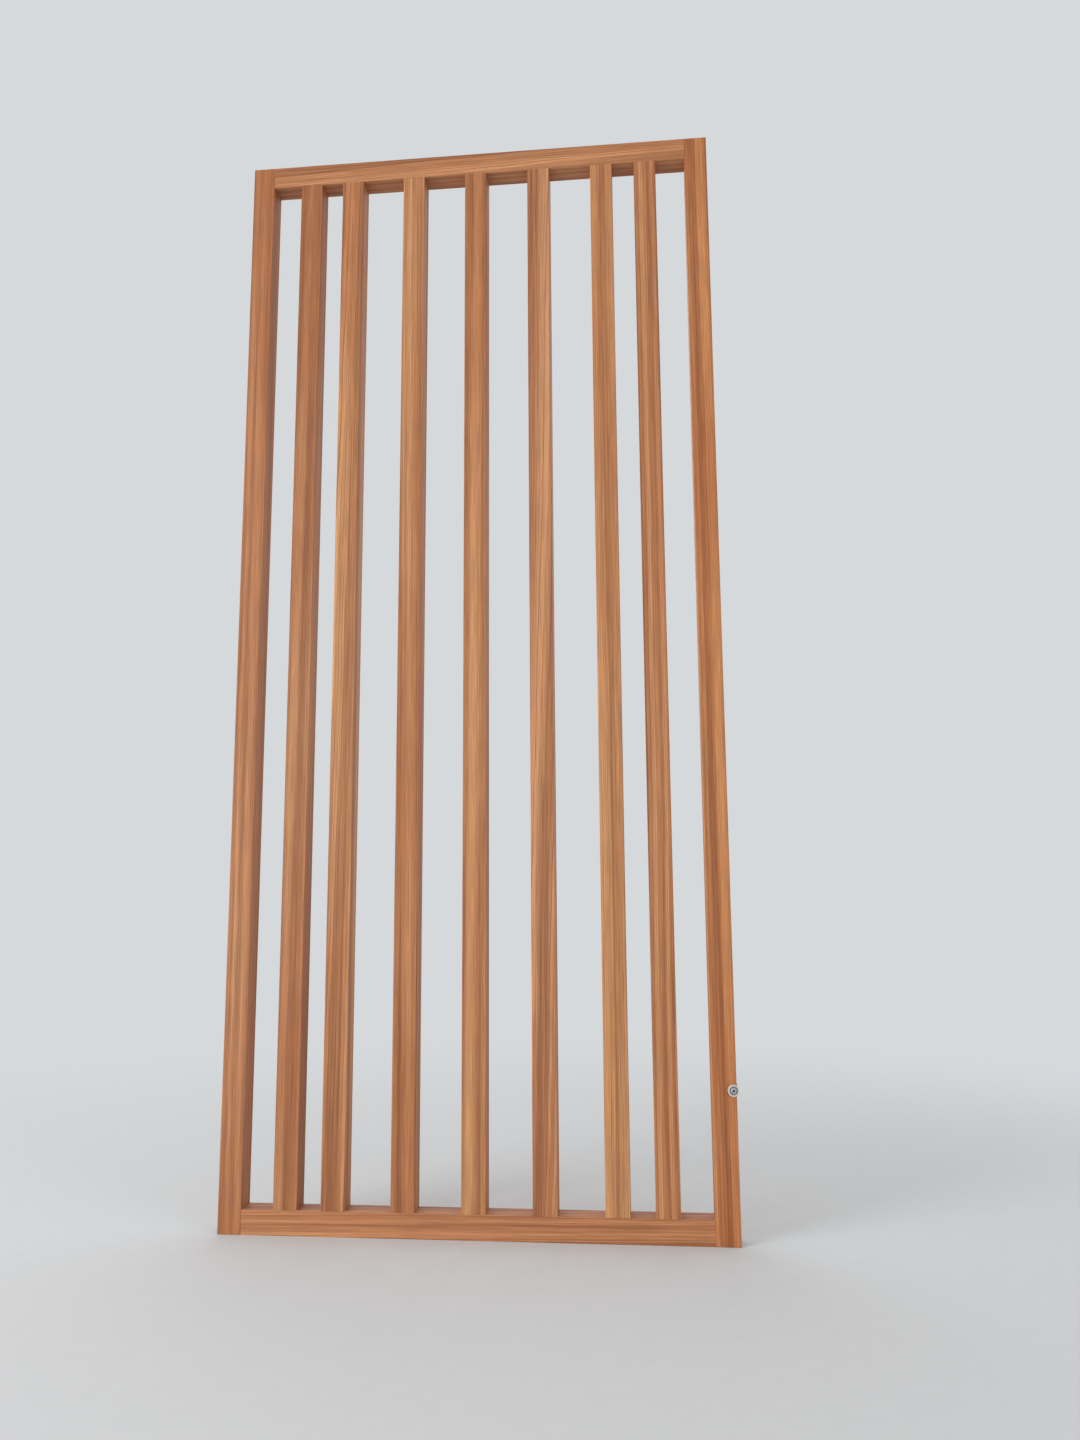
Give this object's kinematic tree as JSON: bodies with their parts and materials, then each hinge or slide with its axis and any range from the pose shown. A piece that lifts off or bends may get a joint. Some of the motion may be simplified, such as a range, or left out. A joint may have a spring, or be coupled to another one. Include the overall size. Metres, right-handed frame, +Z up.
{
  "type": "sliding pocket gate",
  "caption": "Slatted timber leaf of a top-hung sliding pocket gate, with upright slats tenoned into two rails between two stiles, hanger plates on top and bumpers low at one edge.",
  "frame": {"origin": "middle of the leaf's bottom edge, in the middle of its thickness", "axes": "+Z up along the slats, X along the slide with the bumpers at +X, -Y the face that the picture shows"},
  "size_m": [0.8168, 0.052, 1.8318],
  "materials": {
    "oiled_redwood": "oiled, satin",
    "zinc_steel": "zinc plated",
    "grey_rubber": "moulded, matt"
  },
  "bodies": {
    "root": {"stile_left": "oiled_redwood", "stile_right": "oiled_redwood", "rail_top": "oiled_redwood", "rail_bottom": "oiled_redwood", "slat_1": "oiled_redwood", "slat_2": "oiled_redwood", "slat_3": "oiled_redwood", "slat_4": "oiled_redwood", "slat_5": "oiled_redwood", "slat_6": "oiled_redwood", "slat_7": "oiled_redwood", "hanger_plate_left": "zinc_steel", "hanger_nut_left": "zinc_steel", "hanger_screws_left": "zinc_steel", "hanger_plate_right": "zinc_steel", "hanger_nut_right": "zinc_steel", "hanger_screws_right": "zinc_steel", "front_bumper_washer": "zinc_steel", "front_bumper_screw": "zinc_steel", "back_bumper_washer": "zinc_steel", "back_bumper_screw": "zinc_steel", "front_bumper": "grey_rubber", "back_bumper": "grey_rubber"}
  },
  "joints": []
}
